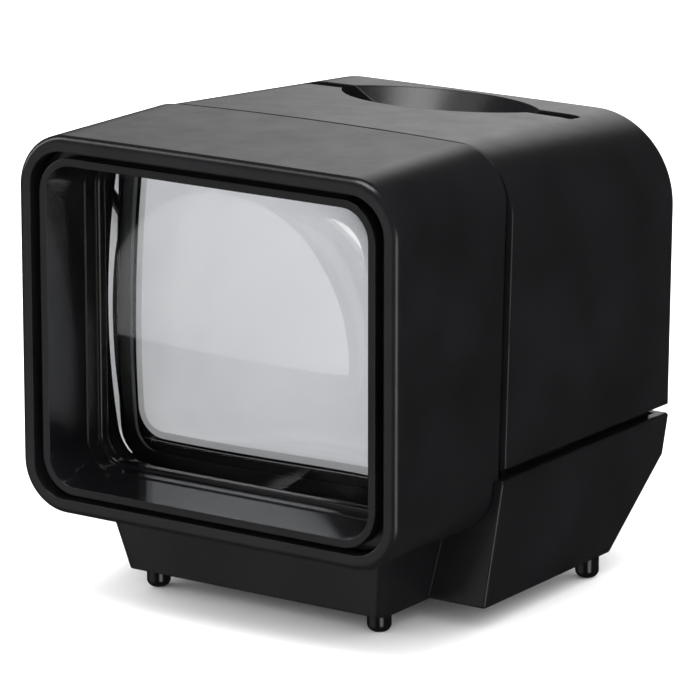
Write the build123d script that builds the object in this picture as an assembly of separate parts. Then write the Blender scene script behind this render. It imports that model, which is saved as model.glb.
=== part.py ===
from build123d import *

import math
import os

# Hand-held slide viewer for 50 mm slide mounts: one STEP file per separate piece.
# +X is to the right seen from the front, +Y runs from the lens to the back, +Z is up. The origin is on the
# surface that the viewer stands on, under the middle of its outer box. Every length is in millimetres, and
# a depth is measured back from the front rim.

# Overall sizes (mm)
HOUSING_WIDTH = 73.6
HOUSING_TAPER = 0.8
HOOD_WIDTH = 70.0
OVERALL_DEPTH = 77.2
REAR_LEAN = 0.8
HOOD_TOP = 74.4
HOOD_BOTTOM = 14.6
HOOD_REAR_DROP = 0.2
HOOD_FLARE = 0.2
HOUSING_BOTTOM = 25.2
HOUSING_FRONT_TOP = 74.2
HOUSING_REAR_TOP = 71.6
TOP_CROWN = 0.7
REAR_CROWN = 0.1
RIM_CROWN_SHARE = 0.2

# Walls, gaps and running clearances
SHELL_WALL = 2.0
RIM_WALL = 2.4
BASE_WALL = 1.8
FIT_GAP = 0.1
SLIDING_GAP = 0.15
SEAM_GAP = 0.45
SEAM_LEAN_DEG = 2.2
OVERCUT = 1.0
JOIN = 0.3

# Corner radii
HOOD_TOP_RADIUS = 8.6
HOOD_LOW_RADIUS = 8.0
HOUSING_FRONT_RADIUS = 10.5
HOUSING_REAR_RADIUS = 14.5
RIM_EDGE_RADIUS = 1.3
REAR_EDGE_RADIUS = 1.2
FINE_EDGE_RADIUS = 0.3

# Places along the depth, measured back from the front rim
FRONT = -OVERALL_DEPTH / 2
SEAM_DEPTH = 28.35
SLIT_DEPTH = 64.75
COLLAR_DEPTH = 4.0
COLLAR_WALL = 1.6
HOOD_LOFT_SPARE = 4.0

# Viewing opening, bezel and lens
SIDE_BAND = 5.3
END_BAND = 4.5
LIP_WALL = 1.2
LIP_SETBACK = 0.2
OPENING_RADIUS = 4.8
TUNNEL_TAPER = 0.5
STEP_DEPTH = 9.3
STEP_HEIGHT = 0.2
RIDGE_DEPTH = 12.0
RIDGE_LENGTH = 1.6
RIDGE_HEIGHT = 0.6
RIDGE_RADIUS = 0.45
FLANGE_DEPTH = 3.0
FLANGE_THICKNESS = 1.6
STOP_RING_LENGTH = 2.0
LENS_RADIUS = 95.0
LENS_THICKNESS = 16.2
LENS_GAP = 0.05
RETAINER_BORDER = 2.2
RETAINER_THICKNESS = 2.2
SLEEVE_SETBACK = 5.0
SLEEVE_WALL = 1.0
SLEEVE_FLARE = 0.6
SLEEVE_RADIUS = 3.0

# Slide, its slit and its finger scoop
SLIDE_SIZE = 50.0
SLIDE_SIDE_GAP = 0.5
SLIT_WIDTH = 3.8
CHANNEL_WIDTH = 3.9
SCOOP_CHORD = 35.0
SCOOP_FRONT_REACH = 10.0
SCOOP_REAR_REACH = 8.0
SCOOP_FLOOR = 66.7
SCOOP_WALL = 1.4
SCOOP_FRONT_DRAFT = 1.2
SCOOP_REAR_DRAFT = 6.4

# Slide guide, diffuser and light box
GUIDE_WALL = 1.5
GUIDE_SIDE = 2.4
GUIDE_FLOOR = 12.1
FLOOR_PLATE = 1.2
WINDOW_WIDTH = 41.5
WINDOW_HEIGHT = 38.0
DIFFUSER_WIDTH = 46.0
DIFFUSER_THICKNESS = 1.3
DIFFUSER_BOTTOM = 24.1
LIGHT_BOX_WALL = 0.8
LEAF_THICKNESS = 0.3
LEAF_WIDTH = 2.4
LEAF_HALF_LENGTH = 12.0
LEAF_BOW = 1.3
LEAF_INSET = 1.8

# Slide rest, its return springs and the switch
REST_THICKNESS = 2.0
REST_TRAVEL = 2.2
STOP_GAP = 0.2
STOP_HEIGHT = 1.2
SPRING_WIRE = 0.35
SPRING_RADIUS = 1.2
SPRING_TURNS = 4.5
SPRING_SPREAD = 18.0
STRIP_THICKNESS = 0.3
STRIP_WIDTH = 3.0
CONTACT_GAP = 0.06
STRIP_STANDOFF = 0.6
SWITCH_SPREAD = 5.0
SWITCH_REACH = 0.8
BRIDGE_HALF_LENGTH = 7.0
BRIDGE_HALF_WIDTH = 1.2
RAIL_Z = 7.4
RAIL_HEIGHT = 2.0

# Lamp
LAMP_RADIUS = 2.8
LAMP_CAP_RADIUS = 2.6
LAMP_Z = 19.5
LAMP_LENGTH = 11.0
CAP_LENGTH = 6.5
CAP_TIP_LENGTH = 1.0
CAP_TIP_RADIUS = 1.05
HOLDER_LENGTH = 4.1
HOLDER_WALL = 0.3
HOLDER_SEAT = 1.6
HOLDER_MOUTH_SHARE = 0.8
CAP_PAD_HALF = 1.0

# Base, feet, battery bay
BASE_TOP = 23.6
FOOT_HEIGHT = 3.4
FOOT_RADIUS = 1.9
FOOT_EDGE_RADIUS = 1.2
FOOT_STEM_RADIUS = 1.2
FOOT_STEM_LENGTH = 3.4
FOOT_SPREAD = 20.9
FOOT_FRONT_DEPTH = 16.45
REAR_FOOT_INSET = 2.1
FOOT_REAR_DEPTH = 58.45
BASE_TOP_STEP = 0.4
BASE_SIDE_DRAFT = 4.2
BASE_FRONT_DEPTH = 26.9
BASE_FRONT_LEAN = 1.9
BASE_FLOOR_END = 61.9
FACET_TOP = 16.7
FACET_DEPTH = 75.8
BASE_REAR_DEPTH = 76.4
SPIGOT_HEIGHT = 4.2
SPIGOT_WALL = 1.2
TONGUE_TOP_WIDTH = 52.8
TONGUE_BOTTOM_WIDTH = 48.4
TONGUE_FRONT_DEPTH = 12.4
TONGUE_LEAN = 2.6
BASE_CORNER_RADIUS = 1.6
BASE_EDGE_RADIUS = 0.5
SPIGOT_DROP = 2.5
RIB_START = 23.0
RIB_THICKNESS = 3.0
RIB_SETBACK = 0.4
LEDGE_WIDTH = 2.0
LEDGE_THICKNESS = 1.2
CELL_RADIUS = 7.1
CELL_EDGE_RADIUS = 0.5
CELL_LENGTH = 49.2
CELL_NUB_RADIUS = 2.7
CELL_NUB_LENGTH = 1.2
CELL_GAP = 0.8
CELL_FLOOR_GAP = 0.6
CELL_ROOF_GAP = 0.5
CELL_BACK_GAP = 0.25
DECK_THICKNESS = 1.2
DECK_END_WALL = 1.2
CONTACT_ROOM = 2.6
CONTACT_HALF = 4.0
CELL_SPRING_RADIUS = 3.0
CELL_SPRING_WIRE = 0.5
CELL_SPRING_TURNS = 2.5
STUD_RADIUS = 2.0
LINK_HALF = 1.0
DOOR_THICKNESS = 1.85
DOOR_FLANGE = 0.85
DOOR_FLANGE_REACH = 1.4
DOOR_WIDTH = 54.0
DOOR_FRONT_DEPTH = 30.2
DOOR_GROOVES = 5
GROOVE_PITCH = 1.6
GROOVE_WIDTH = 0.6
GROOVE_LENGTH = 16.0
SCREW_RADIUS = 1.3
SCREW_HEAD_RADIUS = 2.6
SCREW_HEAD_HEIGHT = 1.5
SCREW_LENGTH = 9.0
SCREW_SPREAD = 11.0
SCREW_DEPTH = 18.85
SLOT_LENGTH = 3.2
SLOT_WIDTH = 0.6
SLOT_DEPTH = 0.8

# Values that follow from the ones above
AXIS_Z = (HOOD_TOP + HOOD_BOTTOM) / 2
OPENING_WIDTH = HOOD_WIDTH - 2 * SIDE_BAND
OPENING_HEIGHT = HOOD_TOP - HOOD_BOTTOM - 2 * END_BAND
BACK_DEPTH = OVERALL_DEPTH - REAR_LEAN
REAR_SLOPE = REAR_LEAN / (HOUSING_REAR_TOP - HOUSING_BOTTOM)
HOOD_LOFT_END = SEAM_DEPTH + HOOD_LOFT_SPARE
SEAM_SLOPE = math.tan(math.radians(SEAM_LEAN_DEG))
REST_TOP = AXIS_Z - SLIDE_SIZE / 2
CHANNEL_HALF = SLIDE_SIZE / 2 + SLIDE_SIDE_GAP
GUIDE_HALF = CHANNEL_HALF + GUIDE_SIDE
GUIDE_TOP = SCOOP_FLOOR - SCOOP_WALL - FIT_GAP
SPIGOT_INSET = SHELL_WALL + FIT_GAP
DOOR_TOP = FOOT_HEIGHT + DOOR_THICKNESS + DOOR_FLANGE
SPRING_SEAT = GUIDE_FLOOR + FLOOR_PLATE
GUIDE_FRONT = SLIT_DEPTH - CHANNEL_WIDTH / 2 - GUIDE_WALL
CELL_PITCH = 2 * CELL_RADIUS + CELL_GAP
CELL_FIRST_DEPTH = GUIDE_FRONT - STRIP_THICKNESS - CELL_BACK_GAP - CELL_RADIUS - CELL_PITCH
CELL_Z = DOOR_TOP + CELL_FLOOR_GAP + CELL_RADIUS
DECK_BOTTOM = CELL_Z + CELL_RADIUS + CELL_ROOF_GAP
BASE_TOP_WIDTH = HOUSING_WIDTH - BASE_TOP_STEP
BASE_BOTTOM_WIDTH = BASE_TOP_WIDTH - BASE_SIDE_DRAFT
CONTACT_TOP = REST_TOP - REST_THICKNESS - STRIP_THICKNESS - REST_TRAVEL - CONTACT_GAP
REAR_FOOT_X = BASE_BOTTOM_WIDTH / 2 - REAR_FOOT_INSET
FEET = {
    "front_left": (-FOOT_SPREAD, FOOT_FRONT_DEPTH),
    "front_right": (FOOT_SPREAD, FOOT_FRONT_DEPTH),
    "rear_left": (-REAR_FOOT_X, FOOT_REAR_DEPTH),
    "rear_right": (REAR_FOOT_X, FOOT_REAR_DEPTH),
}
BIG = 200.0


def depth(value):
    """Place along Y of a depth measured back from the front rim."""
    return FRONT + value


def block(x, y, z):
    """A box from three (low, high) pairs, with y given as depths behind the rim."""
    size = [pair[1] - pair[0] for pair in (x, y, z)]
    middle = ((x[0] + x[1]) / 2, depth((y[0] + y[1]) / 2), (z[0] + z[1]) / 2)
    return Pos(*middle) * Box(*size)


def upright_plane(at_depth):
    """A plane across the depth: its own x is +X and its own y is +Z."""
    return Plane(origin=(0, depth(at_depth), 0), x_dir=(1, 0, 0), z_dir=(0, -1, 0))


def outline(at_depth, width, bottom, top, crown, top_radius, low_radius):
    """A rounded rectangle across the depth, with its top edge bowed up by crown."""
    half = width / 2
    edges = [
        Line((-half, bottom), (half, bottom)),
        Line((half, bottom), (half, top)),
        ThreePointArc((half, top), (0, top + crown), (-half, top)),
        Line((-half, top), (-half, bottom)),
    ]
    face = make_face(Curve() + edges)
    upper = face.vertices().group_by(Axis.Y)[-1]
    face = fillet(upper, top_radius)
    if low_radius:
        lower = face.vertices().group_by(Axis.Y)[0]
        face = fillet(lower, low_radius)
    return upright_plane(at_depth) * face


def frame_prism(front, rear, width, height, radius, taper=0.0):
    """A rounded rectangular prism about the optical axis, narrowed by taper at its rear end."""
    sections = []
    for place, shrink in ((front, 0.0), (rear, taper)):
        face = RectangleRounded(width - 2 * shrink, height - 2 * shrink, radius)
        sections.append(upright_plane(place) * Pos(0, AXIS_Z) * face)
    return loft(sections, ruled=True)


def cylinder_x(radius, start, length, at_depth, z):
    """A cylinder along X."""
    place = Pos(start + length / 2, depth(at_depth), z)
    return place * Rot(0, 90, 0) * Cylinder(radius, length)


def seam_plane(offset):
    """The leaning plane of the seam, moved back by offset."""
    origin = (0, depth(SEAM_DEPTH + offset), HOUSING_BOTTOM)
    return Plane(origin=origin, x_dir=(1, 0, 0), z_dir=(0, 1, -SEAM_SLOPE))


def hood_loft(inset, front, rear, rim_inset):
    """The hood's outer form, drawn in by inset and by rim_inset at its front."""
    lofted = []
    for place, share, wall in ((front, 0.0, rim_inset), (rear, 1.0, inset)):
        lofted.append(outline(
            place,
            HOOD_WIDTH + share * HOOD_FLARE - 2 * wall,
            HOOD_BOTTOM + wall,
            HOOD_TOP - share * HOOD_REAR_DROP - wall,
            TOP_CROWN * (RIM_CROWN_SHARE + (1 - RIM_CROWN_SHARE) * share),
            HOOD_TOP_RADIUS - wall,
            HOOD_LOW_RADIUS - wall,
        ))
    return loft(lofted, ruled=True)


def front_hood():
    """The square hood round the lens, with a collar that plugs into the upper housing."""
    outer = hood_loft(0, 0, HOOD_LOFT_END, 0)
    outer = fillet(outer.faces().sort_by(Axis.Y)[0].edges(), RIM_EDGE_RADIUS)
    outer = split(outer, bisect_by=seam_plane(-SEAM_GAP), keep=Keep.BOTTOM)
    inner = hood_loft(SHELL_WALL, 0, HOOD_LOFT_END, RIM_WALL)
    hood = outer - inner
    ring_front = FLANGE_DEPTH + FLANGE_THICKNESS + FIT_GAP
    ring = frame_prism(
        ring_front,
        ring_front + STOP_RING_LENGTH,
        HOOD_WIDTH - RIM_WALL,
        HOOD_TOP - HOOD_BOTTOM - RIM_WALL,
        HOOD_TOP_RADIUS - RIM_WALL / 2,
    )
    ring_hole = frame_prism(
        ring_front,
        ring_front + STOP_RING_LENGTH,
        OPENING_WIDTH + 2 * (LIP_WALL + FIT_GAP),
        OPENING_HEIGHT + 2 * (LIP_WALL + FIT_GAP),
        OPENING_RADIUS + LIP_WALL,
    )
    hood += (ring - ring_hole) & hood_loft(JOIN, 0, HOOD_LOFT_END, JOIN)
    hood += collar()
    hood -= base_blank(-SEAM_GAP)[0]
    for side in (-1, 1):
        boss = Pos(side * SCREW_SPREAD, depth(SCREW_DEPTH), 0)
        boss_bottom = FOOT_HEIGHT + BASE_WALL + FIT_GAP
        length = HOOD_BOTTOM + RIM_WALL / 2 - boss_bottom
        hood += boss * Pos(0, 0, boss_bottom + length / 2) * Cylinder(2 * SCREW_RADIUS, length)
        pilot = Cylinder(SCREW_RADIUS, SCREW_LENGTH)
        hood -= boss * Pos(0, 0, FOOT_HEIGHT + SCREW_HEAD_HEIGHT + SCREW_LENGTH / 2) * pilot
    return hood


def collar():
    """The thin sleeve that enters the upper housing, and the shoulder that joins it to the hood."""
    bottom = BASE_TOP + SPIGOT_HEIGHT + FIT_GAP
    start = retainer_depths()[1] + FIT_GAP
    end = SEAM_DEPTH + 2 * COLLAR_DEPTH
    outer = housing_loft(SPIGOT_INSET, start, end, bottom)
    inner = housing_loft(SPIGOT_INSET + COLLAR_WALL, start, end, bottom - OVERCUT)
    sleeve = split(outer - inner, bisect_by=seam_plane(COLLAR_DEPTH), keep=Keep.BOTTOM)
    shoulder = hood_loft(JOIN, 0, HOOD_LOFT_END, JOIN) & block((-BIG, BIG), (start, end), (bottom, BIG))
    shoulder = split(shoulder - inner, bisect_by=seam_plane(-SEAM_GAP), keep=Keep.BOTTOM)
    return sleeve + shoulder


def top_slope():
    """How far the upper housing's top falls for each millimetre of depth."""
    return (HOUSING_FRONT_TOP - HOUSING_REAR_TOP) / (OVERALL_DEPTH - SEAM_DEPTH)


def top_height(at_depth):
    """Height of the upper housing's top at its sides."""
    return HOUSING_FRONT_TOP - (at_depth - SEAM_DEPTH) * top_slope()


def housing_half(at_depth):
    """Half of the upper housing's width at a depth; the sides spread towards the back."""
    share = (at_depth - SEAM_DEPTH) / (OVERALL_DEPTH - SEAM_DEPTH)
    return HOUSING_WIDTH / 2 - HOUSING_TAPER * (1 - share)


def housing_loft(inset, front, rear, bottom):
    """The upper housing's outer form drawn in by inset."""
    reach = OVERALL_DEPTH - SEAM_DEPTH
    sections = []
    for place in (front, rear):
        share = (place - SEAM_DEPTH) / reach
        radius = HOUSING_FRONT_RADIUS + share * (HOUSING_REAR_RADIUS - HOUSING_FRONT_RADIUS)
        sections.append(outline(
            place,
            2 * (housing_half(place) - inset),
            bottom,
            top_height(place) - inset,
            TOP_CROWN * (1 - share) + REAR_CROWN,
            radius - inset,
            0,
        ))
    return loft(sections, ruled=True)


def rear_plane(inset):
    """The leaning plane of the upper housing's back, moved forward by inset."""
    origin = (0, depth(BACK_DEPTH - inset), HOUSING_BOTTOM)
    return Plane(origin=origin, x_dir=(1, 0, 0), z_dir=(0, 1, -REAR_SLOPE))


def housing_form(inset, front, bottom):
    """The upper housing's form with its leaning back."""
    form = housing_loft(inset, front, OVERALL_DEPTH + OVERCUT, bottom)
    return split(form, bisect_by=rear_plane(inset), keep=Keep.BOTTOM)


def scoop_cone(reach, side, wall, draft):
    """A cone whose rim cuts an arc of the given reach beside the slit."""
    half = SCOOP_CHORD / 2
    radius = (half ** 2 + reach ** 2) / (2 * reach)
    centre = SLIT_DEPTH + side * (SLIT_WIDTH / 2 + reach - radius)
    rim_z = HOUSING_FRONT_TOP + OVERCUT
    floor = SCOOP_FLOOR - wall
    slope = draft / (top_height(SLIT_DEPTH) - SCOOP_FLOOR)
    low_radius = radius + wall - slope * (top_height(SLIT_DEPTH) - floor)
    high_radius = radius + wall + slope * (rim_z - top_height(SLIT_DEPTH))
    cone = Pos(0, depth(centre), (floor + rim_z) / 2) * Cone(low_radius, high_radius, rim_z - floor)
    if side < 0:
        return cone & block((-BIG, BIG), (0, SLIT_DEPTH), (0, BIG))
    return cone & block((-BIG, BIG), (SLIT_DEPTH, BIG), (0, BIG))


def scoop(wall):
    """The finger scoop's two halves, one on each side of the slit."""
    front = scoop_cone(SCOOP_FRONT_REACH, -1, wall, SCOOP_FRONT_DRAFT)
    rear = scoop_cone(SCOOP_REAR_REACH, 1, wall, SCOOP_REAR_DRAFT)
    return front + rear


def slit_cut():
    """The slot that the slide goes down through."""
    low = SCOOP_FLOOR - SCOOP_WALL - OVERCUT
    face = RectangleRounded(2 * CHANNEL_HALF, SLIT_WIDTH, SLIT_WIDTH / 4)
    return Pos(0, depth(SLIT_DEPTH), low) * extrude(face, HOUSING_FRONT_TOP - low + 3 * OVERCUT)


def upper_housing():
    """The rear cover with its sloping top, rounded corners, slit and finger scoop."""
    outer = housing_form(0, SEAM_DEPTH - OVERCUT, HOUSING_BOTTOM)
    outer = split(outer, bisect_by=seam_plane(0), keep=Keep.TOP)
    back_edges = outer.faces().sort_by(Axis.Y)[-1].edges().sort_by(Axis.Z)[1:]
    outer = fillet(back_edges, REAR_EDGE_RADIUS)
    front_edges = outer.faces().sort_by(Axis.Y)[0].edges().sort_by(Axis.Z)[1:]
    outer = fillet(front_edges, FINE_EDGE_RADIUS)
    inner = housing_form(SHELL_WALL, SEAM_DEPTH - 2 * OVERCUT, HOUSING_BOTTOM - OVERCUT)
    pocket = scoop(SCOOP_WALL) & housing_form(SHELL_WALL / 2, SEAM_DEPTH, HOUSING_BOTTOM)
    return outer - inner + pocket - scoop(0) - slit_cut()


def viewing_bezel():
    """The glossy frame in the hood: front lip, tunnel, lens ridge and lens pocket."""
    wall = LIP_WALL
    rear = retainer_depths()[1]
    body = frame_prism(
        LIP_SETBACK, rear, OPENING_WIDTH + 2 * wall, OPENING_HEIGHT + 2 * wall, OPENING_RADIUS + wall
    )
    flange_gap = 2 * (RIM_WALL + FIT_GAP)
    flange = frame_prism(
        FLANGE_DEPTH,
        FLANGE_DEPTH + FLANGE_THICKNESS,
        HOOD_WIDTH - flange_gap,
        HOOD_TOP - HOOD_BOTTOM - flange_gap,
        HOOD_TOP_RADIUS - RIM_WALL,
    )
    tunnel = frame_prism(0, STEP_DEPTH, OPENING_WIDTH, OPENING_HEIGHT, OPENING_RADIUS, TUNNEL_TAPER)
    narrow = 2 * (TUNNEL_TAPER + STEP_HEIGHT)
    throat = frame_prism(
        STEP_DEPTH, RIDGE_DEPTH, OPENING_WIDTH - narrow, OPENING_HEIGHT - narrow, OPENING_RADIUS
    )
    seat_start = RIDGE_DEPTH + RIDGE_LENGTH
    lens_width, lens_height = lens_size()
    pocket = frame_prism(
        RIDGE_DEPTH, rear, lens_width + 2 * FIT_GAP, lens_height + 2 * FIT_GAP, OPENING_RADIUS
    )
    return body + flange - tunnel - throat - pocket + lens_ridge(seat_start)


def lens_ridge(seat_start):
    """The rounded ridge inside the tunnel that the lens rests against."""
    narrow = 2 * (TUNNEL_TAPER + STEP_HEIGHT + RIDGE_HEIGHT)
    outer = frame_prism(
        RIDGE_DEPTH, seat_start, OPENING_WIDTH + LIP_WALL, OPENING_HEIGHT + LIP_WALL, OPENING_RADIUS
    )
    hole = frame_prism(
        RIDGE_DEPTH,
        seat_start,
        OPENING_WIDTH - narrow,
        OPENING_HEIGHT - narrow,
        OPENING_RADIUS - RIDGE_HEIGHT,
    )
    ridge = outer - hole
    inner_edges = ridge.faces().sort_by(Axis.Y)[0].inner_wires()[0].edges()
    return fillet(inner_edges, RIDGE_RADIUS)


def lens_size():
    """Width and height of the lens and of the frame that holds it."""
    return OPENING_WIDTH - 2 * TUNNEL_TAPER, OPENING_HEIGHT - 2 * TUNNEL_TAPER


def lens_sag(height):
    """How far a lens face has curved back at a height above or below its middle."""
    return LENS_RADIUS - math.sqrt(LENS_RADIUS ** 2 - height ** 2)


def lens_depths():
    """Depths of the lens's front and rear vertices; the ridge stops its front face."""
    ridge_half = OPENING_HEIGHT / 2 - TUNNEL_TAPER - STEP_HEIGHT - RIDGE_HEIGHT
    front = RIDGE_DEPTH + RIDGE_LENGTH + LENS_GAP - lens_sag(ridge_half)
    return front, front + LENS_THICKNESS


def retainer_depths():
    """Depths of the retainer's front and rear faces; its front rests on the lens."""
    hole_half = lens_size()[1] / 2 - RETAINER_BORDER
    front = lens_depths()[1] - lens_sag(hole_half) + LENS_GAP
    return front, front + RETAINER_THICKNESS


def magnifier_lens():
    """A thick double-convex lens cut to a rounded rectangle."""
    width, height = lens_size()
    front, rear = lens_depths()
    blank = frame_prism(front, rear, width, height, OPENING_RADIUS)
    front_ball = Pos(0, depth(front + LENS_RADIUS), AXIS_Z) * Sphere(LENS_RADIUS)
    rear_ball = Pos(0, depth(rear - LENS_RADIUS), AXIS_Z) * Sphere(LENS_RADIUS)
    return blank & front_ball & rear_ball


def lens_retainer():
    """The frame that is pressed in behind the lens."""
    width, height = lens_size()
    front, rear = retainer_depths()
    outer = frame_prism(front, rear, width, height, OPENING_RADIUS)
    hole = frame_prism(
        front,
        rear,
        width - 2 * RETAINER_BORDER,
        height - 2 * RETAINER_BORDER,
        OPENING_RADIUS - RETAINER_BORDER / 2,
    )
    return outer - hole


def sleeve_form(wall):
    """The tapered form between the lens retainer and the slide guide, grown outwards by wall."""
    lens_hole = lens_size()[0] - 2 * RETAINER_BORDER
    ends = (
        (retainer_depths()[1] + SLEEVE_SETBACK, lens_hole, WINDOW_HEIGHT + 2 * SLEEVE_FLARE),
        (GUIDE_FRONT, WINDOW_WIDTH, WINDOW_HEIGHT),
    )
    sections = []
    for place, width, height in ends:
        face = RectangleRounded(width + 2 * wall, height + 2 * wall, SLEEVE_RADIUS + wall)
        sections.append(upright_plane(place) * Pos(0, AXIS_Z) * face)
    return loft(sections, ruled=True)


def picture_sleeve():
    """The pale sleeve that carries soft light along the view from the lens to the slide."""
    return sleeve_form(SLEEVE_WALL) - sleeve_form(0)


def channel_faces():
    """Depths of the slide channel's front and rear faces."""
    return SLIT_DEPTH - CHANNEL_WIDTH / 2, SLIT_DEPTH + CHANNEL_WIDTH / 2


def slide_guide():
    """The frame that guides the slide and masks its picture."""
    front_face, rear_face = channel_faces()
    body = block(
        (-GUIDE_HALF, GUIDE_HALF),
        (GUIDE_FRONT, rear_face + GUIDE_WALL),
        (GUIDE_FLOOR, GUIDE_TOP),
    )
    channel = block((-CHANNEL_HALF, CHANNEL_HALF), (front_face, rear_face), (SPRING_SEAT, BIG))
    for side in (-1, 1):
        x = sorted((side * (SLIDE_SIZE / 2 + STOP_GAP), side * CHANNEL_HALF))
        channel -= block(x, (front_face, rear_face), (REST_TOP, REST_TOP + STOP_HEIGHT))
    window = block(
        (-WINDOW_WIDTH / 2, WINDOW_WIDTH / 2),
        (0, BIG),
        (AXIS_Z - WINDOW_HEIGHT / 2, AXIS_Z + WINDOW_HEIGHT / 2),
    )
    lamp_cut = block((-BIG, BIG), (guide_back(), BIG), (0, DIFFUSER_BOTTOM - OVERCUT))
    slot_z = (CONTACT_TOP - STRIP_THICKNESS, CONTACT_TOP + FIT_GAP)
    slot_half = STRIP_WIDTH / 2
    front_slot = block((-SWITCH_SPREAD - slot_half, -SWITCH_SPREAD + slot_half), (0, front_face), slot_z)
    rear_slot = block((SWITCH_SPREAD - slot_half, SWITCH_SPREAD + slot_half), (rear_face, BIG), slot_z)
    return body - channel - window - lamp_cut - front_slot - rear_slot


def pressure_springs():
    """Two bowed leaves that press the slide against the front of its channel."""
    back = depth(channel_faces()[1])
    front = back - LEAF_THICKNESS
    low, high = AXIS_Z - LEAF_HALF_LENGTH, AXIS_Z + LEAF_HALF_LENGTH
    edges = [
        ThreePointArc((front, low), (front - LEAF_BOW, AXIS_Z), (front, high)),
        Line((front, high), (back, high)),
        ThreePointArc((back, high), (back - LEAF_BOW, AXIS_Z), (back, low)),
        Line((back, low), (front, low)),
    ]
    leaves = []
    for side in (-1, 1):
        x = side * (CHANNEL_HALF - LEAF_INSET) - LEAF_WIDTH / 2
        place = Plane(origin=(x, 0, 0), x_dir=(0, 1, 0), z_dir=(1, 0, 0))
        leaves.append(extrude(place * make_face(Curve() + edges), LEAF_WIDTH))
    return leaves


def diffuser_place():
    """Depth of the diffuser's front face."""
    return channel_faces()[1] + GUIDE_WALL


def diffuser_screen():
    """The opal plate behind the slide."""
    half = DIFFUSER_WIDTH / 2
    front = diffuser_place()
    return block((-half, half), (front, front + DIFFUSER_THICKNESS), (DIFFUSER_BOTTOM, GUIDE_TOP))


def light_box():
    """The white box behind the diffuser: back, sides and top, open at the front and at the bottom."""
    half = DIFFUSER_WIDTH / 2
    front = diffuser_place() + DIFFUSER_THICKNESS
    rear = BACK_DEPTH - SPIGOT_INSET - SPIGOT_WALL - FIT_GAP
    outer = block((-half, half), (front, rear), (DIFFUSER_BOTTOM, GUIDE_TOP))
    inner = block(
        (-half + LIGHT_BOX_WALL, half - LIGHT_BOX_WALL),
        (front, rear - LIGHT_BOX_WALL),
        (DIFFUSER_BOTTOM, GUIDE_TOP - LIGHT_BOX_WALL),
    )
    return outer - inner


def guide_back():
    """Depth of the slide guide's back where it is thinned to clear the lamp."""
    return channel_faces()[1] + GUIDE_WALL / 2


def lamp_depth():
    """Depth of the lamp's axis, midway between the slide guide and the base's rear wall."""
    return (guide_back() + FACET_DEPTH - BASE_WALL) / 2


def lamp_tip():
    """Place along X of the lamp's end contact."""
    return -CAP_LENGTH - CAP_TIP_LENGTH


def lamp_bulb():
    """The glass envelope of the lamp, which lies along X."""
    straight = LAMP_LENGTH - LAMP_RADIUS
    glass = cylinder_x(LAMP_RADIUS, 0, straight, lamp_depth(), LAMP_Z)
    dome = Pos(straight, depth(lamp_depth()), LAMP_Z) * Sphere(LAMP_RADIUS)
    return glass + dome


def lamp_cap():
    """The lamp's brass cap and its tip contact."""
    cap = cylinder_x(LAMP_CAP_RADIUS, -CAP_LENGTH, CAP_LENGTH, lamp_depth(), LAMP_Z)
    tip = cylinder_x(CAP_TIP_RADIUS, lamp_tip(), CAP_TIP_LENGTH, lamp_depth(), LAMP_Z)
    return cap + tip


def lamp_holder():
    """The open-topped block that grips the lamp's cap and stands on the base's rear facet."""
    clear = LAMP_CAP_RADIUS + FIT_GAP
    y = lamp_depth()
    body = block(
        (-CAP_LENGTH, HOLDER_LENGTH - CAP_LENGTH),
        (y - clear - HOLDER_WALL, y + clear + HOLDER_WALL),
        (LAMP_Z - clear - HOLDER_SEAT, LAMP_Z + clear / 2),
    )
    bore = cylinder_x(clear, -CAP_LENGTH, CAP_LENGTH, y, LAMP_Z)
    half_mouth = clear * HOLDER_MOUTH_SHARE
    mouth = block((-BIG, BIG), (y - half_mouth, y + half_mouth), (LAMP_Z, BIG))
    return (body & base_blank(BASE_WALL)[0]) - bore - mouth


def slide_rest():
    """The bar that the slide stands on; pressing the slide down closes the switch."""
    half = CHANNEL_HALF - SLIDING_GAP
    reach = CHANNEL_WIDTH / 2 - SLIDING_GAP
    return block(
        (-half, half), (SLIT_DEPTH - reach, SLIT_DEPTH + reach), (REST_TOP - REST_THICKNESS, REST_TOP)
    )


def contact_bridge():
    """The brass plate under the slide rest that joins the two switch contacts."""
    low = REST_TOP - REST_THICKNESS - STRIP_THICKNESS
    return block(
        (-BRIDGE_HALF_LENGTH, BRIDGE_HALF_LENGTH),
        (SLIT_DEPTH - BRIDGE_HALF_WIDTH, SLIT_DEPTH + BRIDGE_HALF_WIDTH),
        (low, low + STRIP_THICKNESS),
    )


def coil(radius, wire, height, turns):
    """A coil spring that stands on the XY plane."""
    pitch = (height - wire) / turns
    path = Helix(pitch, height - wire, radius)
    section = Plane(origin=path @ 0, z_dir=path % 0) * Circle(wire / 2)
    return Pos(0, 0, wire / 2) * sweep(section, path)


def rest_springs():
    """The two coil springs that lift the slide rest."""
    height = REST_TOP - REST_THICKNESS - SPRING_SEAT
    spring = coil(SPRING_RADIUS - SPRING_WIRE / 2, SPRING_WIRE, height, SPRING_TURNS)
    return [Pos(side * SPRING_SPREAD, depth(SLIT_DEPTH), SPRING_SEAT) * spring for side in (-1, 1)]


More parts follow.
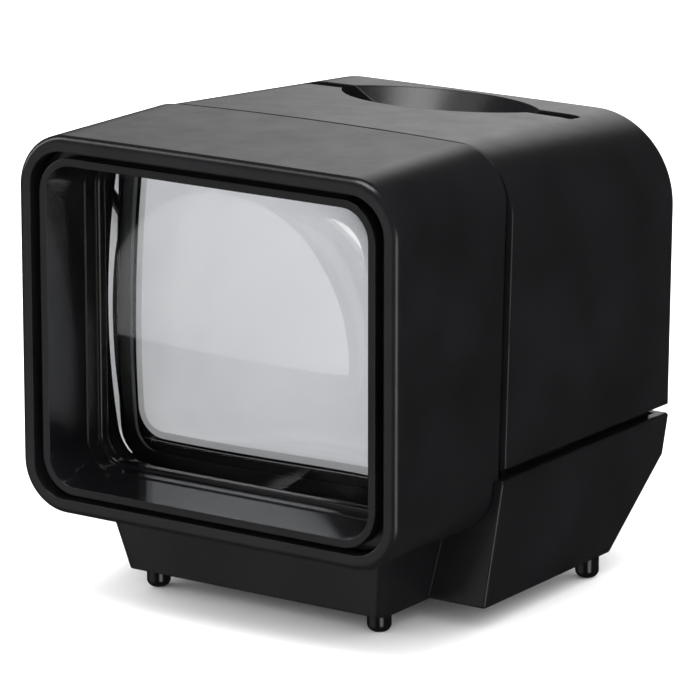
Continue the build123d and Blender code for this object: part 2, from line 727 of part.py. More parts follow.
def base_blank(wall):
    """The base's wide part and its front tongue, drawn in by wall."""
    low = FOOT_HEIGHT + wall
    top = BASE_TOP
    rise = BASE_TOP - FOOT_HEIGHT
    slope = math.atan2(FACET_TOP - FOOT_HEIGHT, FACET_DEPTH - BASE_FLOOR_END)
    shift = wall / math.sin(slope)
    floor_end = BASE_FLOOR_END - shift + wall / math.tan(slope)
    points = [
        (BASE_FRONT_DEPTH - BASE_FRONT_LEAN + wall, low),
        (BASE_FRONT_DEPTH + wall, top),
        (BASE_REAR_DEPTH - wall, top),
        (FACET_DEPTH - wall, FACET_TOP + wall * math.tan(slope / 2)),
        (floor_end, low),
    ]
    wide = side_prism(points) & front_prism(BASE_BOTTOM_WIDTH, BASE_TOP_WIDTH, rise, wall)
    lean = TONGUE_LEAN / (HOOD_BOTTOM - FOOT_HEIGHT)
    tongue_top = HOOD_BOTTOM - FIT_GAP
    front_low = TONGUE_FRONT_DEPTH + wall
    nose = [
        (front_low - lean * wall, low),
        (front_low - lean * (tongue_top - FOOT_HEIGHT), tongue_top),
        (SEAM_DEPTH + wall, tongue_top),
        (SEAM_DEPTH + wall, low),
    ]
    tongue_rise = HOOD_BOTTOM - FOOT_HEIGHT
    tongue = side_prism(nose) & front_prism(TONGUE_BOTTOM_WIDTH, TONGUE_TOP_WIDTH, tongue_rise, wall)
    return wide, tongue


def side_prism(points):
    """A solid across the whole width from (depth, height) points."""
    plane = Plane(origin=(-BIG / 2, 0, 0), x_dir=(0, 1, 0), z_dir=(1, 0, 0))
    corners = [(depth(y), z) for y, z in points]
    return extrude(plane * make_face(Polyline(*corners, close=True)), BIG)


def front_prism(low_width, high_width, rise, wall):
    """A solid along the depth whose sides draw in towards the floor."""
    low, high = low_width / 2 - wall, high_width / 2 - wall
    z0, z1 = FOOT_HEIGHT, FOOT_HEIGHT + rise
    corners = [(-low, z0), (low, z0), (high, z1), (-high, z1)]
    face = upright_plane(BIG) * make_face(Polyline(*corners, close=True))
    return extrude(face, BIG)


def wide_part():
    """The base's wide part with its edges eased; the battery door is cut from the same form."""
    return fillet(base_blank(0)[0].edges(), BASE_EDGE_RADIUS)


def door_profile(gap, front, rear):
    """The battery door's T-shaped section run along the depth, grown by gap."""
    half = DOOR_WIDTH / 2
    plate = block((-half - gap, half + gap), (front - gap, rear), (0, DOOR_TOP + gap))
    wings = half + DOOR_FLANGE_REACH + gap
    flange = block((-wings, wings), (front - gap, rear), (DOOR_TOP - DOOR_FLANGE - gap, DOOR_TOP + gap))
    return plate + flange


def lower_base():
    """The base shell: wide part, tongue, floor, spigot and foot sockets."""
    tongue = base_blank(0)[1]
    tongue = fillet(tongue.edges().filter_by(is_upright).group_by(Axis.Y)[0], BASE_CORNER_RADIUS)
    outer = wide_part() + tongue
    wide_hollow, tongue_hollow = base_blank(BASE_WALL)
    shell = outer - wide_hollow - tongue_hollow
    shell += spigot()
    shell += (guide_ribs() + deck_ledges()) & outer
    for x, y in FEET.values():
        socket = Pos(x, depth(y), FOOT_HEIGHT + FOOT_STEM_LENGTH / 2)
        shell += (socket * Cylinder(2 * FOOT_STEM_RADIUS, FOOT_STEM_LENGTH)) & outer
        shell -= socket * Cylinder(FOOT_STEM_RADIUS, FOOT_STEM_LENGTH)
    shell -= door_profile(SLIDING_GAP, DOOR_FRONT_DEPTH, BIG)
    for side in (-1, 1):
        hole = Pos(side * SCREW_SPREAD, depth(SCREW_DEPTH), FOOT_HEIGHT)
        recess = Cylinder(SCREW_HEAD_RADIUS + FIT_GAP, SCREW_HEAD_HEIGHT)
        shell -= hole * Pos(0, 0, SCREW_HEAD_HEIGHT / 2) * recess
        shell -= hole * Cylinder(SCREW_RADIUS + FIT_GAP, 2 * (BASE_WALL + OVERCUT))
    return shell


def guide_ribs():
    """Two ribs that rise from the rear facet to carry the slide guide."""
    ribs = [
        block(
            sorted((side * RIB_START, side * (RIB_START + RIB_THICKNESS))),
            (GUIDE_FRONT + RIB_SETBACK, guide_back()),
            (FOOT_HEIGHT, GUIDE_FLOOR),
        )
        for side in (-1, 1)
    ]
    return ribs[0] + ribs[1]


def deck_ledges():
    """A ledge inside each side wall that carries the battery deck."""
    ledges = [
        block(
            sorted((side * (deck_half() - LEDGE_WIDTH), side * BASE_TOP_WIDTH / 2)),
            (deck_front(), deck_rear()),
            (DECK_BOTTOM - LEDGE_THICKNESS, DECK_BOTTOM),
        )
        for side in (-1, 1)
    ]
    return ledges[0] + ledges[1]


def is_upright(edge):
    """True for an edge that climbs much more than it runs."""
    return abs(edge.tangent_at(0.5).Z) > 0.8


def spigot():
    """The lip round the base's sides and back that enters the upper housing."""
    half = spigot_half()
    rear = BACK_DEPTH - SPIGOT_INSET
    front = SEAM_DEPTH + SHELL_WALL
    z = (BASE_TOP - SPIGOT_DROP, BASE_TOP + SPIGOT_HEIGHT)
    outer = block((-half, half), (front, rear), z)
    inner = block((-half + SPIGOT_WALL, half - SPIGOT_WALL), (front - OVERCUT, rear - SPIGOT_WALL), z)
    return outer - inner


def spigot_half():
    """Half of the spigot's width, which clears the upper housing at its narrow front end."""
    return housing_half(SEAM_DEPTH) - SPIGOT_INSET


def foot(x, y):
    """A peg foot with a rounded lower edge and a stem that is pressed into the base."""
    shank = Pos(x, depth(y), FOOT_HEIGHT / 2) * Cylinder(FOOT_RADIUS, FOOT_HEIGHT)
    shank = fillet(shank.edges().sort_by(Axis.Z)[0], FOOT_EDGE_RADIUS)
    stem = Pos(x, depth(y), FOOT_HEIGHT + FOOT_STEM_LENGTH / 2) * Cylinder(FOOT_STEM_RADIUS, FOOT_STEM_LENGTH)
    return shank + stem


def battery_door():
    """The sliding cover of the battery bay; its back end completes the base's rear facet."""
    plate = door_profile(0, DOOR_FRONT_DEPTH, FACET_DEPTH) & wide_part()
    for index in range(1, DOOR_GROOVES + 1):
        groove = Pos(0, depth(BASE_FLOOR_END - index * GROOVE_PITCH), FOOT_HEIGHT) * Rot(45, 0, 0)
        plate -= groove * Box(GROOVE_LENGTH, GROOVE_WIDTH, GROOVE_WIDTH)
    return plate


def battery(index):
    """An AA cell; its button points to +X in the front cell and to -X in the rear one."""
    y = CELL_FIRST_DEPTH + index * CELL_PITCH
    start = -(CELL_LENGTH + CELL_NUB_LENGTH) / 2
    can = cylinder_x(CELL_RADIUS, start, CELL_LENGTH, y, CELL_Z)
    can = fillet(can.edges().filter_by(GeomType.CIRCLE), CELL_EDGE_RADIUS)
    nub = cylinder_x(CELL_NUB_RADIUS, start + CELL_LENGTH, CELL_NUB_LENGTH, y, CELL_Z)
    cell = can + nub
    if index == 1:
        cell = mirror(cell, about=Plane.YZ)
    return cell


def cell_end():
    """Distance from the middle to the end of a cell."""
    return (CELL_LENGTH + CELL_NUB_LENGTH) / 2


def contact_wall():
    """Distance from the middle to the inner face of a contact plate."""
    return cell_end() + CONTACT_ROOM


def deck_front():
    """Depth of the battery deck's front edge."""
    return CELL_FIRST_DEPTH - CELL_RADIUS


def deck_rear():
    """Depth of the battery deck's rear edge, just in front of the slide guide."""
    return GUIDE_FRONT - STRIP_THICKNESS


def deck_half():
    """Half of the battery deck's width, which fits inside the base's spigot."""
    return spigot_half() - SPIGOT_WALL - FIT_GAP


def battery_deck():
    """The plate over the cells, with the two end walls that carry their contacts."""
    half = deck_half()
    deck = block((-half, half), (deck_front(), deck_rear()), (DECK_BOTTOM, DECK_BOTTOM + DECK_THICKNESS))
    for side in (-1, 1):
        face = contact_wall() + LEAF_THICKNESS
        x = sorted((side * face, side * (face + DECK_END_WALL)))
        deck += block(x, (deck_front() + OVERCUT, deck_rear() - OVERCUT), (DOOR_TOP + JOIN, DECK_BOTTOM))
    return deck


def end_plate(side, first, last):
    """A contact plate on an end wall, from one cell's middle to another's."""
    wall = side * contact_wall()
    x = sorted((wall, wall + side * LEAF_THICKNESS))
    low = CELL_FIRST_DEPTH + first * CELL_PITCH - CONTACT_HALF
    high = CELL_FIRST_DEPTH + last * CELL_PITCH + CONTACT_HALF
    return block(x, (low, high), (CELL_Z - CONTACT_HALF, CELL_Z + CONTACT_HALF))


def cell_spring(side, index):
    """The coil that presses on the flat end of a cell."""
    start = cell_end() + FIT_GAP
    height = CONTACT_ROOM - FIT_GAP
    spring = coil(CELL_SPRING_RADIUS, CELL_SPRING_WIRE, height, CELL_SPRING_TURNS)
    y = CELL_FIRST_DEPTH + index * CELL_PITCH
    turn = Rot(0, 90 * side, 0)
    return Pos(side * start, depth(y), CELL_Z) * turn * spring


def stud(side, index):
    """The raised stud that meets a cell's button."""
    start = cell_end() + FIT_GAP
    length = CONTACT_ROOM - FIT_GAP
    x = start if side > 0 else -start - length
    return cylinder_x(STUD_RADIUS, x, length, CELL_FIRST_DEPTH + index * CELL_PITCH, CELL_Z)


def series_bridge():
    """The plate that joins the two cells at the right-hand end."""
    return end_plate(1, 0, 1) + stud(1, 0)


def left_plate_x():
    """The two faces of the contact plates on the left-hand end wall."""
    return -contact_wall() - LEAF_THICKNESS, -contact_wall()


def positive_contact():
    """The plate at the rear cell's button, with a tab that rises to the lamp strip."""
    plate = end_plate(-1, 1, 1) + stud(-1, 1)
    tab_start = CELL_FIRST_DEPTH + CELL_PITCH
    tab = block(left_plate_x(), (tab_start, deck_rear()), (CELL_Z, LAMP_Z + STRIP_WIDTH / 2))
    return plate + tab


def lamp_strip():
    """The strip from the positive contact round the slide guide to the tip of the lamp."""
    thin = STRIP_THICKNESS
    z = (LAMP_Z - STRIP_WIDTH / 2, LAMP_Z + STRIP_WIDTH / 2)
    start = deck_rear()
    end = lamp_depth() + thin
    side = -GUIDE_HALF - STRIP_STANDOFF
    step = block(sorted((side - thin, -contact_wall())), (start, start + thin), z)
    run = block((side - thin, side), (start, end), z)
    cross = block((side - thin, lamp_tip()), (end - thin, end), z)
    pad = block((lamp_tip() - thin, lamp_tip()), (end - STRIP_WIDTH / 2, end), z)
    return step + run + cross + pad


def negative_contact():
    """The plate at the front cell's flat end, with a low rail back to the switch."""
    plate = end_plate(-1, 0, 0)
    rail_z = (RAIL_Z, RAIL_Z + RAIL_HEIGHT)
    rail = block(left_plate_x(), (CELL_FIRST_DEPTH - CONTACT_HALF, deck_rear()), rail_z)
    link_y = (CELL_FIRST_DEPTH - LINK_HALF, CELL_FIRST_DEPTH + LINK_HALF)
    link = block(left_plate_x(), link_y, (RAIL_Z, CELL_Z))
    return plate + rail + link


def switch_tongue_x(side):
    """The two edges of a fixed switch contact."""
    middle = side * SWITCH_SPREAD
    return middle - STRIP_WIDTH / 2 + FIT_GAP, middle + STRIP_WIDTH / 2 - FIT_GAP


def switch_contact_front():
    """The fixed switch contact that is fed from the front cell."""
    x = switch_tongue_x(-1)
    low = CONTACT_TOP - STRIP_THICKNESS
    riser_y = (GUIDE_FRONT - STRIP_THICKNESS, GUIDE_FRONT)
    tongue = block(x, (riser_y[0], SLIT_DEPTH + SWITCH_REACH), (low, CONTACT_TOP))
    riser = block(x, riser_y, (RAIL_Z, low))
    run = block((left_plate_x()[0], x[1]), riser_y, (RAIL_Z, RAIL_Z + RAIL_HEIGHT))
    return tongue + riser + run


def switch_contact_rear():
    """The fixed switch contact that feeds the side of the lamp's cap."""
    x = switch_tongue_x(1)
    low = CONTACT_TOP - STRIP_THICKNESS
    back = guide_back()
    pad_x = (HOLDER_LENGTH - CAP_LENGTH + FIT_GAP, -FIT_GAP)
    tongue = block(x, (SLIT_DEPTH - SWITCH_REACH, back + STRIP_THICKNESS), (low, CONTACT_TOP))
    run = block((pad_x[0], x[1]), (back, back + STRIP_THICKNESS), (low, low + RAIL_HEIGHT))
    riser = block(pad_x, (back, back + STRIP_THICKNESS), (low, LAMP_Z + CAP_PAD_HALF))
    pad = block(pad_x, (back, lamp_depth() - LAMP_CAP_RADIUS), (LAMP_Z - CAP_PAD_HALF, LAMP_Z + CAP_PAD_HALF))
    return tongue + run + riser + pad


def case_screws():
    """The two self-tapping screws that hold the tongue to the hood."""
    screws = []
    for side in (-1, 1):
        place = Pos(side * SCREW_SPREAD, depth(SCREW_DEPTH), FOOT_HEIGHT)
        head = Pos(0, 0, SCREW_HEAD_HEIGHT / 2) * Cylinder(SCREW_HEAD_RADIUS, SCREW_HEAD_HEIGHT)
        shank = Pos(0, 0, SCREW_HEAD_HEIGHT + SCREW_LENGTH / 2) * Cylinder(SCREW_RADIUS, SCREW_LENGTH)
        screw = head + shank
        for angle in (0, 90):
            screw -= Rot(0, 0, angle) * Box(SLOT_LENGTH, SLOT_WIDTH, 2 * SLOT_DEPTH)
        screws.append(place * screw)
    return screws


def build():
    """Every node's shape by name; a list is a group of separate solids."""
    nodes = {
        "front_hood": front_hood(),
        "upper_housing": upper_housing(),
        "viewing_bezel": viewing_bezel(),
        "magnifier_lens": magnifier_lens(),
        "lens_retainer": lens_retainer(),
        "picture_sleeve": picture_sleeve(),
        "slide_guide": slide_guide(),
        "pressure_springs": pressure_springs(),
        "diffuser_screen": diffuser_screen(),
        "light_box": light_box(),
        "lamp_bulb": lamp_bulb(),
        "lamp_cap": lamp_cap(),
        "lamp_holder": lamp_holder(),
        "slide_rest": slide_rest(),
        "contact_bridge": contact_bridge(),
        "rest_springs": rest_springs(),
        "lower_base": lower_base(),
        "battery_door": battery_door(),
        "battery_deck": battery_deck(),
        "battery_front": battery(0),
        "battery_rear": battery(1),
        "series_bridge": series_bridge(),
        "positive_contact": positive_contact(),
        "lamp_strip": lamp_strip(),
        "negative_contact": negative_contact(),
        "cell_spring_front": cell_spring(-1, 0),
        "cell_spring_rear": cell_spring(1, 1),
        "switch_contact_front": switch_contact_front(),
        "switch_contact_rear": switch_contact_rear(),
        "case_screws": case_screws(),
    }
    for name, (x, y) in FEET.items():
        nodes["foot_" + name] = foot(x, y)
    return nodes


def main():
    os.makedirs("parts", exist_ok=True)
    for name, shape in build().items():
        if isinstance(shape, list):
            shape = Compound(children=[piece.solid() for piece in shape])
        export_step(shape, os.path.join("parts", name + ".step"))
        print(name)


main()
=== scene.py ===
import math

import bmesh
import bpy
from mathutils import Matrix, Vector

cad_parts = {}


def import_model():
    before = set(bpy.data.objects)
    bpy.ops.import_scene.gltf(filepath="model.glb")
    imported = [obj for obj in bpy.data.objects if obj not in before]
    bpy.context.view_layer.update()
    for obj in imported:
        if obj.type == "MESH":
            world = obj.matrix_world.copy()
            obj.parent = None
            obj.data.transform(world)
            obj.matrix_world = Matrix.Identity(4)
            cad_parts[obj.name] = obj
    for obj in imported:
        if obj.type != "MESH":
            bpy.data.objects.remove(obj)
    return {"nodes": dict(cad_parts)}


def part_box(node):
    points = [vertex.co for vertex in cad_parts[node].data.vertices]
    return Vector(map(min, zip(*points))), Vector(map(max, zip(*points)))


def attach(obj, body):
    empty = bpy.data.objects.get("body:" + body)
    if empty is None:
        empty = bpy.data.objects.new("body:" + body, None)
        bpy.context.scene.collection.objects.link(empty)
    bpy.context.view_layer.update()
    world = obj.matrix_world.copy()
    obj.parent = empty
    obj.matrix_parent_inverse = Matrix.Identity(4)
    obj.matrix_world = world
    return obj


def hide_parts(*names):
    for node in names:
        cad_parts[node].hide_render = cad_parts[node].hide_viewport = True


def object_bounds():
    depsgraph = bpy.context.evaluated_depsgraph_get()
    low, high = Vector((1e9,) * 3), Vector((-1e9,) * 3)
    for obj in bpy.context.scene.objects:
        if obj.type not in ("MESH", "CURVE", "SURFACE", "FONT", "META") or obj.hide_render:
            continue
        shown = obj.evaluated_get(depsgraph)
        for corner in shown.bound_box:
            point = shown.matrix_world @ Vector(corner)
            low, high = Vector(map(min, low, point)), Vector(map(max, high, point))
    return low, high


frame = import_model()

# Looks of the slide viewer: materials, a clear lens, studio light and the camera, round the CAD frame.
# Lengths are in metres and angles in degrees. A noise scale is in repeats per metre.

CAD_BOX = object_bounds()
NODES = frame["nodes"]
MM = 0.001
WHITE = (1.0, 1.0, 1.0, 1.0)

# Camera: direction and framing of the comparison view
CAMERA_AZIMUTH = 34.13
CAMERA_ELEVATION = 14.38
CAMERA_DISTANCE = 0.7826
CAMERA_LENS = 254.8
CAMERA_SENSOR = 36
CAMERA_CLIP = (0.01, 20)
CAMERA_AIM_OFFSET = (-0.00186, 0.00345, -0.00184)

# Studio lamps: name, azimuth, elevation, distance, width, height, power in watts
LAMPS = (
    ("lamp_top", -20, 75, 0.9, 0.5, 0.5, 4.0),
    ("lamp_left", -75, 25, 0.9, 0.15, 0.9, 2.0),
)

# Studio surroundings: even light, and panels as azimuth, elevation, inner and outer angle, strength
FLOOR_SIZE = 6.0
FLOOR_LIGHT = 2.0
ROOM_LIGHT = 0.03
PANELS = (
    (-34, -14, 10, 40, 0.3),
    (56, -14, 4, 20, 2.4),
    (-66, 52, 4, 18, 1.2),
    (202, 13, 4, 22, 0.85),
)

# Lens: the radius of its faces is the CAD lens's, and the steps set how fine its mesh is
LENS_RADIUS = 95 * MM
LENS_CORNER = 4.8 * MM
LENS_SIDE_STEPS = 16
LENS_CORNER_STEPS = 8
LENS_RINGS = 24
LENS_SHARP_ANGLE = 40

# Depth of the relief that the bump nodes stand for, and the softness of moulded edges
GRAIN_DEPTH = 0.03 * MM
FINE_DEPTH = 0.02 * MM
SATIN_EDGE = 0.35 * MM
GLOSS_EDGE = 0.3 * MM
EDGE_SAMPLES = 6

# Other material values
# Strength of the painted glow on the diffuser screen and picture sleeve, standing in for light passing
# through them; the viewer's own lamp gives no light.
SCREEN_PAINTED_GLOW = 0.23
CELL_BAND = (12.5 * MM, 13.0 * MM)


def direction(azimuth, elevation):
    """Unit vector from the object towards a camera or lamp at these angles."""
    a = math.radians(azimuth)
    e = math.radians(elevation)
    return Vector((math.sin(a) * math.cos(e), -math.cos(a) * math.cos(e), math.sin(e)))


def centre():
    """Middle of the object's box."""
    low, high = CAD_BOX
    return (low + high) / 2


# Materials

class Nodes:
    """A short way to build a node material."""

    def __init__(self, name):
        self.material = bpy.data.materials.new(name)
        self.material.use_nodes = True
        self.tree = self.material.node_tree
        self.shader = self.tree.nodes["Principled BSDF"]

    def set(self, **values):
        """Constants on the shader's own sockets."""
        for key, value in values.items():
            self.shader.inputs[key.replace("_", " ")].default_value = value
        return self

    def add(self, kind, **values):
        """A new node with these constants on its sockets."""
        node = self.tree.nodes.new(kind)
        for key, value in values.items():
            node.inputs[key.replace("_", " ")].default_value = value
        return node

    def link(self, source, target):
        self.tree.links.new(source, target)

    def coords(self):
        return self.add("ShaderNodeTexCoord").outputs["Object"]

    def noise(self, scale, detail=3.0, roughness=0.55):
        node = self.add("ShaderNodeTexNoise", Scale=scale, Detail=detail, Roughness=roughness)
        self.link(self.coords(), node.inputs["Vector"])
        return node.outputs["Fac"]

    def ramp(self, source, low, high, start=0.3, end=0.7):
        """A number that goes from low to high as the source goes from start to end."""
        node = self.add("ShaderNodeMapRange", From_Min=start, From_Max=end, To_Min=low, To_Max=high)
        self.link(source, node.inputs["Value"])
        return node.outputs["Result"]

    def colours(self, source, dark, light, start=0.3, end=0.7):
        """A colour that goes from dark to light as the source goes from start to end."""
        node = self.tree.nodes.new("ShaderNodeValToRGB")
        for element, colour, place in zip(node.color_ramp.elements, (dark, light), (start, end)):
            element.color = (*colour, 1.0)
            element.position = place
        self.link(source, node.inputs["Fac"])
        return node.outputs["Color"]

    def bump(self, source, strength, depth, edge=None):
        """Relief from the source, over edges softened by the given radius."""
        node = self.add("ShaderNodeBump", Strength=strength, Distance=depth)
        self.link(source, node.inputs["Height"])
        if edge:
            bevel = self.add("ShaderNodeBevel", Radius=edge)
            bevel.samples = EDGE_SAMPLES
            self.link(bevel.outputs["Normal"], node.inputs["Normal"])
        self.link(node.outputs["Normal"], self.shader.inputs["Normal"])

    def drive(self, socket, source):
        self.link(source, self.shader.inputs[socket])


def satin_plastic(name, dark, light, rough_low, rough_high, grain):
    """Moulded black plastic with a fine grain, faint flow marks and soft edges."""
    m = Nodes(name).set(IOR=1.5)
    m.drive("Base Color", m.colours(m.noise(scale=60, detail=4), dark, light))
    m.drive("Roughness", m.ramp(m.noise(scale=180, detail=4), rough_low, rough_high))
    m.bump(m.noise(scale=4200, detail=2), strength=grain, depth=GRAIN_DEPTH, edge=SATIN_EDGE)
    return m.material


def shell_black():
    """The satin black of the outer casing."""
    dark = (0.004, 0.004, 0.0045)
    light = (0.007, 0.007, 0.008)
    return satin_plastic("shell_black", dark, light, rough_low=0.19, rough_high=0.25, grain=0.35)


def inner_black():
    """The duller black of the inner frames."""
    dark = (0.004, 0.004, 0.004)
    light = (0.008, 0.008, 0.008)
    return satin_plastic("inner_black", dark, light, rough_low=0.5, rough_high=0.65, grain=0.3)


def gloss_black(name):
    """Polished black plastic with faint hand marks."""
    m = Nodes(name).set(IOR=1.52)
    m.drive("Base Color", m.colours(m.noise(scale=40), (0.002, 0.002, 0.002), (0.005, 0.005, 0.006)))
    m.drive("Roughness", m.ramp(m.noise(scale=150, detail=5), low=0.10, high=0.17))
    m.bump(m.noise(scale=900, detail=2), strength=0.12, depth=FINE_DEPTH, edge=GLOSS_EDGE)
    return m.material


def lens_acrylic():
    """Clear acrylic with a very faint haze."""
    m = Nodes("lens_acrylic").set(IOR=1.49, Transmission_Weight=1.0, Base_Color=(0.99, 0.995, 1.0, 1.0))
    m.drive("Roughness", m.ramp(m.noise(scale=300, detail=5), low=0.0, high=0.006))
    return m.material


def opal_screen_painted_glow():
    """Milky diffuser, cloudy and a little uneven, with a painted glow that stands in for light passing
    through it from behind.
    """
    m = Nodes("opal_screen_painted_glow").set(Roughness=0.6, Emission_Strength=SCREEN_PAINTED_GLOW)
    cloud = m.noise(scale=45, detail=3)
    m.drive("Base Color", m.colours(cloud, (0.70, 0.71, 0.73), (0.86, 0.87, 0.88)))
    # Painted glow: the emission, uneven with the same clouds, stands in for light coming through from
    # behind.
    m.drive("Emission Color", m.colours(cloud, (0.86, 0.87, 0.90), (1.0, 1.0, 1.0)))
    m.bump(m.noise(scale=2500), strength=0.2, depth=FINE_DEPTH)
    return m.material


def white_plastic():
    """Matt white plastic of the light box."""
    m = Nodes("white_plastic")
    m.drive("Base Color", m.colours(m.noise(scale=80), (0.76, 0.76, 0.74), (0.86, 0.86, 0.85)))
    m.drive("Roughness", m.ramp(m.noise(scale=400), low=0.45, high=0.6))
    m.bump(m.noise(scale=2600), strength=0.25, depth=GRAIN_DEPTH)
    return m.material


def lamp_glass():
    """Clear glass with a faint haze."""
    m = Nodes("lamp_glass").set(IOR=1.47, Transmission_Weight=1.0)
    m.drive("Roughness", m.ramp(m.noise(scale=500), low=0.01, high=0.05))
    return m.material


def metal(name, dark, light, rough_low, rough_high):
    """Plated or stamped metal with fine marks."""
    m = Nodes(name).set(Metallic=1.0)
    marks = m.add("ShaderNodeTexNoise", Scale=1500, Detail=4.0)
    m.link(m.coords(), marks.inputs["Vector"])
    m.drive("Base Color", m.colours(m.noise(scale=160), dark, light))
    m.drive("Roughness", m.ramp(marks.outputs["Fac"], rough_low, rough_high))
    m.bump(marks.outputs["Fac"], strength=0.15, depth=FINE_DEPTH)
    return m.material


def cell_sleeve():
    """Printed cell sleeve: a dark body with a coloured band at one end and no lettering."""
    m = Nodes("cell_sleeve").set(Metallic=0.4)
    split = m.add("ShaderNodeSeparateXYZ")
    m.link(m.coords(), split.inputs["Vector"])
    band = m.ramp(split.outputs["X"], 0.0, 1.0, *CELL_BAND)
    body_colour = (0.02, 0.022, 0.03)
    band_colour = (0.55, 0.32, 0.12)
    m.drive("Base Color", m.colours(band, body_colour, band_colour, start=0.45, end=0.55))
    m.drive("Roughness", m.ramp(m.noise(scale=300), low=0.22, high=0.34))
    m.bump(m.noise(scale=900), strength=0.1, depth=FINE_DEPTH)
    return m.material


def paint(material, *names):
    """Gives these CAD nodes a material."""
    for name in names:
        node = NODES[name]
        node.data.materials.clear()
        node.data.materials.append(material)


def paint_all():
    """Gives every CAD node its material."""
    paint(shell_black(), "front_hood", "upper_housing", "lower_base", "battery_door")
    paint(gloss_black("gloss_black"), "viewing_bezel")
    paint(gloss_black("foot_gloss"), *[name for name in NODES if name.startswith("foot_")])
    paint(inner_black(), "lens_retainer", "slide_guide", "slide_rest", "lamp_holder", "battery_deck")
    # The screen and the picture sleeve get the painted glow, which lights the view behind the lens.
    paint(opal_screen_painted_glow(), "diffuser_screen", "picture_sleeve")
    paint(white_plastic(), "light_box")
    paint(lamp_glass(), "lamp_bulb")
    brass = metal("stamped_brass", (0.50, 0.34, 0.12), (0.66, 0.47, 0.20), rough_low=0.25, rough_high=0.42)
    paint(brass, "lamp_cap", "lamp_strip", "contact_bridge", "switch_contact_front", "switch_contact_rear")
    nickel = metal("nickel_steel", (0.45, 0.45, 0.46), (0.62, 0.62, 0.64), rough_low=0.22, rough_high=0.38)
    paint(nickel, "pressure_springs", "rest_springs", "cell_spring_front", "cell_spring_rear",
          "positive_contact", "negative_contact", "series_bridge")
    black = metal("black_screw", (0.05, 0.05, 0.05), (0.10, 0.10, 0.10), rough_low=0.3, rough_high=0.45)
    paint(black, "case_screws")
    paint(cell_sleeve(), "battery_front", "battery_rear")


# The lens, smooth enough to look through

def rounded_rectangle(width, height, radius):
    """Points round a rounded rectangle: evenly spaced along its sides, and by angle in its corners."""
    reach_x = width / 2 - radius
    reach_z = height / 2 - radius
    corners = ((reach_x, reach_z), (-reach_x, reach_z), (-reach_x, -reach_z), (reach_x, -reach_z))
    points = []
    for index, (x, z) in enumerate(corners):
        for step in range(LENS_CORNER_STEPS):
            angle = math.radians(90 * (index + step / LENS_CORNER_STEPS))
            points.append(Vector((x + radius * math.cos(angle), z + radius * math.sin(angle))))
        turn = math.radians(90 * (index + 1))
        side = radius * Vector((math.cos(turn), math.sin(turn)))
        start = Vector((x, z)) + side
        end = Vector(corners[(index + 1) % len(corners)]) + side
        points.extend(start.lerp(end, step / LENS_SIDE_STEPS) for step in range(LENS_SIDE_STEPS))
    return points


def lens_face(mesh, outline, middle, side, vertex_y):
    """Rings of vertices on one spherical face of the lens, and the vertex at its middle."""
    rings = []
    for ring in range(LENS_RINGS):
        share = 1 - ring / LENS_RINGS
        row = []
        for x, z in outline:
            px, pz = x * share, z * share
            sag = LENS_RADIUS - math.sqrt(LENS_RADIUS ** 2 - px ** 2 - pz ** 2)
            row.append(mesh.verts.new((middle.x + px, vertex_y + side * sag, middle.z + pz)))
        rings.append(row)
    tip = mesh.verts.new((middle.x, vertex_y, middle.z))
    return rings, tip


def add_face(mesh, corners, flip):
    mesh.faces.new(corners[::-1] if flip else corners)


def bridge(mesh, first, second, flip):
    """Quads between two closed rows of vertices."""
    for index in range(len(first)):
        after = (index + 1) % len(first)
        add_face(mesh, [first[index], first[after], second[after], second[index]], flip)


def close(mesh, row, tip, flip):
    """Triangles from a closed row of vertices to one vertex."""
    for index in range(len(row)):
        add_face(mesh, [row[index], row[(index + 1) % len(row)], tip], flip)


def lens_mesh():
    """A double-convex solid with spherical faces and a straight edge."""
    low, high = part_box("magnifier_lens")
    middle = (low + high) / 2
    outline = rounded_rectangle(high.x - low.x, high.z - low.z, LENS_CORNER)
    mesh = bmesh.new()
    front, front_tip = lens_face(mesh, outline, middle, 1, low.y)
    rear, rear_tip = lens_face(mesh, outline, middle, -1, high.y)
    for rows, tip, flip in ((front, front_tip, True), (rear, rear_tip, False)):
        for outer, inner in zip(rows, rows[1:]):
            bridge(mesh, outer, inner, flip)
        close(mesh, rows[-1], tip, flip)
    bridge(mesh, front[0], rear[0], False)
    bmesh.ops.recalc_face_normals(mesh, faces=mesh.faces)
    for face in mesh.faces:
        face.smooth = True
    for edge in mesh.edges:
        edge.smooth = edge.calc_face_angle(0) < math.radians(LENS_SHARP_ANGLE)
    data = bpy.data.meshes.new("clear_lens")
    mesh.to_mesh(data)
    mesh.free()
    return data


def clear_lens():
    """The polished lens, in the CAD lens's place."""
    data = lens_mesh()
    data.materials.append(lens_acrylic())
    piece = bpy.data.objects.new("clear_lens", data)
    bpy.context.scene.collection.objects.link(piece)
    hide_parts("magnifier_lens")
    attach(piece, "casing")


# Stage, light and camera

def floor():
    """A wide pale floor that the object doesn't mirror."""
    bpy.ops.mesh.primitive_plane_add(size=FLOOR_SIZE, location=(0, 0, 0))
    plane = bpy.context.object
    plane.name = "floor"
    m = Nodes("floor_white").set(Roughness=0.9)
    m.drive("Base Color", m.colours(m.noise(scale=3), (0.90, 0.90, 0.90), (0.93, 0.93, 0.93)))
    plane.data.materials.append(m.material)
    plane.visible_glossy = False


def softbox(name, azimuth, elevation, distance, width, height, power):
    """A soft rectangular lamp aimed at the middle of the object."""
    lamp = bpy.data.lights.new(name, "AREA")
    lamp.shape = "RECTANGLE"
    lamp.size = width
    lamp.size_y = height
    lamp.energy = power
    holder = bpy.data.objects.new(name, lamp)
    towards = direction(azimuth, elevation)
    holder.location = centre() + towards * distance
    holder.rotation_mode = "QUATERNION"
    holder.rotation_quaternion = towards.to_track_quat("Z", "Y")
    bpy.context.scene.collection.objects.link(holder)


def lights():
    """Soft lamps above and at the left, which draw the edge highlights."""
    for values in LAMPS:
        softbox(*values)


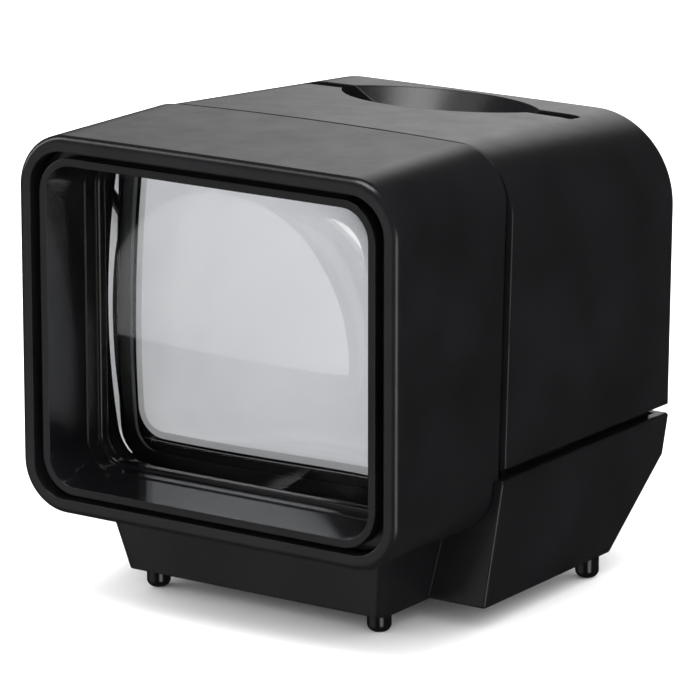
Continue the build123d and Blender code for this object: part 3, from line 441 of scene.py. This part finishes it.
def panel(tree, coordinates, azimuth, elevation, inner, outer, strength):
    """Strength of a soft round panel of the studio in the direction that is looked up."""
    towards = tree.nodes.new("ShaderNodeVectorMath")
    towards.operation = "DOT_PRODUCT"
    towards.inputs[1].default_value = direction(azimuth, elevation)
    tree.links.new(coordinates, towards.inputs[0])
    falloff = tree.nodes.new("ShaderNodeMapRange")
    falloff.interpolation_type = "SMOOTHSTEP"
    falloff.inputs["From Min"].default_value = math.cos(math.radians(outer))
    falloff.inputs["From Max"].default_value = math.cos(math.radians(inner))
    falloff.inputs["To Max"].default_value = strength
    tree.links.new(towards.outputs["Value"], falloff.inputs["Value"])
    return falloff.outputs["Result"]


def choose(tree, switch, when_off, when_on):
    """A value that depends on the kind of light ray."""
    mix = tree.nodes.new("ShaderNodeMix")
    mix.data_type = "FLOAT"
    mix.inputs["A"].default_value = when_off
    tree.links.new(when_on, mix.inputs["B"])
    tree.links.new(switch, mix.inputs["Factor"])
    return mix.outputs["Result"]


def world():
    """Even white light on the floor, and soft panels in a dark room for the object's reflections."""
    studio = bpy.data.worlds.new("studio")
    studio.use_nodes = True
    studio.cycles.sampling_method = "NONE"
    tree = studio.node_tree
    coordinates = tree.nodes.new("ShaderNodeTexCoord").outputs["Generated"]
    total = tree.nodes.new("ShaderNodeValue").outputs[0]
    total.default_value = ROOM_LIGHT
    for values in PANELS:
        add = tree.nodes.new("ShaderNodeMath")
        tree.links.new(total, add.inputs[0])
        tree.links.new(panel(tree, coordinates, *values), add.inputs[1])
        total = add.outputs[0]
    path = tree.nodes.new("ShaderNodeLightPath")
    strength = choose(tree, path.outputs["Is Glossy Ray"], FLOOR_LIGHT, total)
    background = tree.nodes["Background"]
    tree.links.new(strength, background.inputs["Strength"])
    background.inputs["Color"].default_value = WHITE
    bpy.context.scene.world = studio
    bpy.context.scene.view_settings.view_transform = "Standard"


def camera():
    """The camera of the comparison view."""
    data = bpy.data.cameras.new("camera")
    data.sensor_width = CAMERA_SENSOR
    data.lens = CAMERA_LENS
    data.clip_start, data.clip_end = CAMERA_CLIP
    back = direction(CAMERA_AZIMUTH, CAMERA_ELEVATION)
    holder = bpy.data.objects.new("camera", data)
    holder.location = centre() + Vector(CAMERA_AIM_OFFSET) + back * CAMERA_DISTANCE
    holder.rotation_mode = "QUATERNION"
    holder.rotation_quaternion = (-back).to_track_quat("-Z", "Y")
    bpy.context.scene.collection.objects.link(holder)
    bpy.context.scene.camera = holder


paint_all()
clear_lens()
floor()
lights()
world()
camera()
